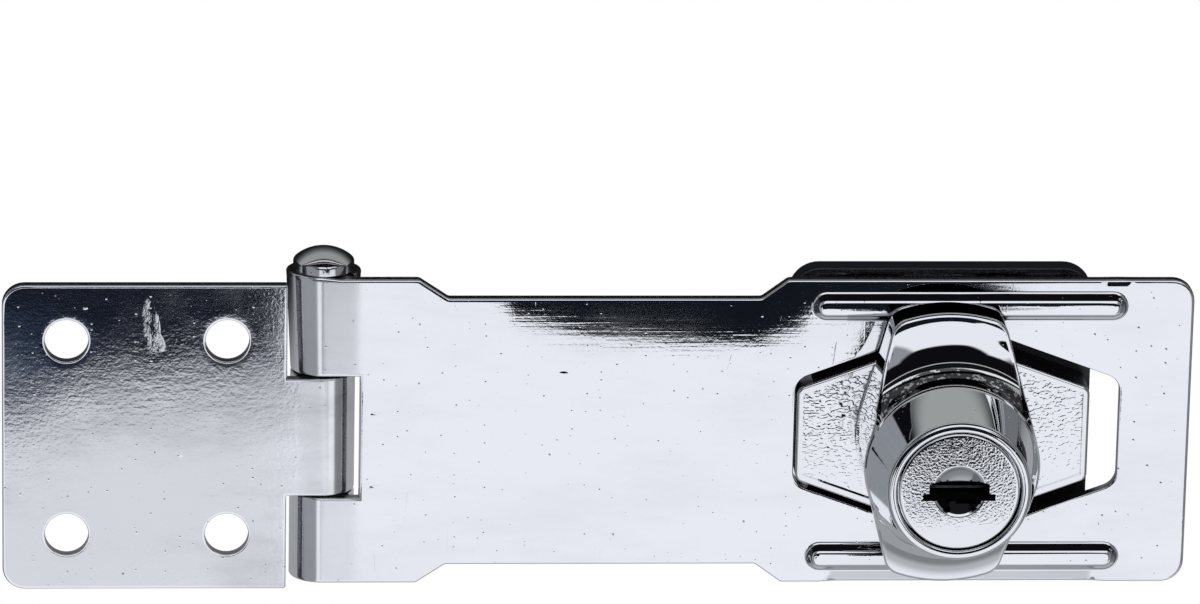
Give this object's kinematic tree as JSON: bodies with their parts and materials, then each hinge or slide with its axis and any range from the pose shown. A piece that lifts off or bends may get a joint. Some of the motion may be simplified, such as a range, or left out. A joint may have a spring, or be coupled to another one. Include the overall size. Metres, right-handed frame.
{
  "type": "keyed locking hasp",
  "caption": "Chrome-plated keyed locking hasp: screw-on hinge leaf, riveted pin, long slotted strap, and a surface lock base whose turn knob holds a wafer lock.",
  "frame": {"origin": "knob axis at the mounting plane, the centre of the lock base's four screw holes", "axes": "+X along the strap away from the hinge, +Z out of the mounting plane towards the key, +Y across the strap towards the hinge pin's head"},
  "size_m": [0.1578, 0.0465, 0.0324],
  "materials": {
    "chrome_steel": "bright chrome plate on stamped steel, fine draw streaks, pits and scuffs",
    "chrome_zinc": "bright chrome plate on die-cast zinc, grainy sunk panels",
    "chrome_plug": "chrome plate, grainy cast face inside a smooth border",
    "brass_wafer": "stamped brass, plain",
    "spring_steel": "drawn spring wire and strip",
    "plain_steel": "zinc-passivated stamped steel"
  },
  "bodies": {
    "hasp": {"hasp_strap": "chrome_steel", "hinge_pin": "chrome_steel", "lock_base": "chrome_zinc"},
    "leaf": {"hinge_leaf": "chrome_steel"},
    "knob": {"knob_shell": "chrome_zinc", "wave_washer": "spring_steel", "back_washer": "plain_steel", "retaining_clip": "plain_steel"},
    "plug": {"plug": "chrome_plug", "plug_retainer": "plain_steel", "wafer_spring_1": "spring_steel", "wafer_spring_2": "spring_steel", "wafer_spring_3": "spring_steel", "wafer_spring_4": "spring_steel", "wafer_spring_5": "spring_steel", "wafer_spring_6": "spring_steel"},
    "bolt": {"lock_bolt": "plain_steel"},
    "wafer_1": {"wafer_1": "brass_wafer"},
    "wafer_2": {"wafer_2": "brass_wafer"},
    "wafer_3": {"wafer_3": "brass_wafer"},
    "wafer_4": {"wafer_4": "brass_wafer"},
    "wafer_5": {"wafer_5": "brass_wafer"},
    "wafer_6": {"wafer_6": "brass_wafer"}
  },
  "joints": [
    {"name": "leaf_hinge", "type": "hinge", "parent": "hasp", "child": "leaf", "pos_m": [-0.0823, 0, 0.0043], "axis": [0, 1, 0], "range_deg": [-180, 95]},
    {"name": "knob_turn", "type": "hinge", "parent": "hasp", "child": "knob", "pos_m": [0, 0, 0.0099], "axis": [0, 0, 1], "range_deg": [0, 90]},
    {"name": "plug_turn", "type": "hinge", "parent": "knob", "child": "plug", "pos_m": [0, 0, 0.03215], "axis": [0, 0, 1], "range_deg": [0, 90]},
    {"name": "bolt_slide", "type": "slide", "parent": "knob", "child": "bolt", "axis": [1, 0, 0], "range_m": [0, 0.00212]},
    {"name": "wafer_1_slide", "type": "slide", "parent": "plug", "child": "wafer_1", "axis": [1, 0, 0], "range_m": [0, 0.0006], "stiffness_N_per_m": 60, "deforming": ["wafer_spring_1"]},
    {"name": "wafer_2_slide", "type": "slide", "parent": "plug", "child": "wafer_2", "axis": [-1, 0, 0], "range_m": [0, 0.0006], "stiffness_N_per_m": 60, "deforming": ["wafer_spring_2"]},
    {"name": "wafer_3_slide", "type": "slide", "parent": "plug", "child": "wafer_3", "axis": [1, 0, 0], "range_m": [0, 0.0006], "stiffness_N_per_m": 60, "deforming": ["wafer_spring_3"]},
    {"name": "wafer_4_slide", "type": "slide", "parent": "plug", "child": "wafer_4", "axis": [-1, 0, 0], "range_m": [0, 0.0006], "stiffness_N_per_m": 60, "deforming": ["wafer_spring_4"]},
    {"name": "wafer_5_slide", "type": "slide", "parent": "plug", "child": "wafer_5", "axis": [1, 0, 0], "range_m": [0, 0.0006], "stiffness_N_per_m": 60, "deforming": ["wafer_spring_5"]},
    {"name": "wafer_6_slide", "type": "slide", "parent": "plug", "child": "wafer_6", "axis": [-1, 0, 0], "range_m": [0, 0.0006], "stiffness_N_per_m": 60, "deforming": ["wafer_spring_6"]}
  ],
  "couplings": [
    {"joint": "bolt_slide", "follows": "plug_turn", "m_per_rad": 0.0013505}
  ]
}
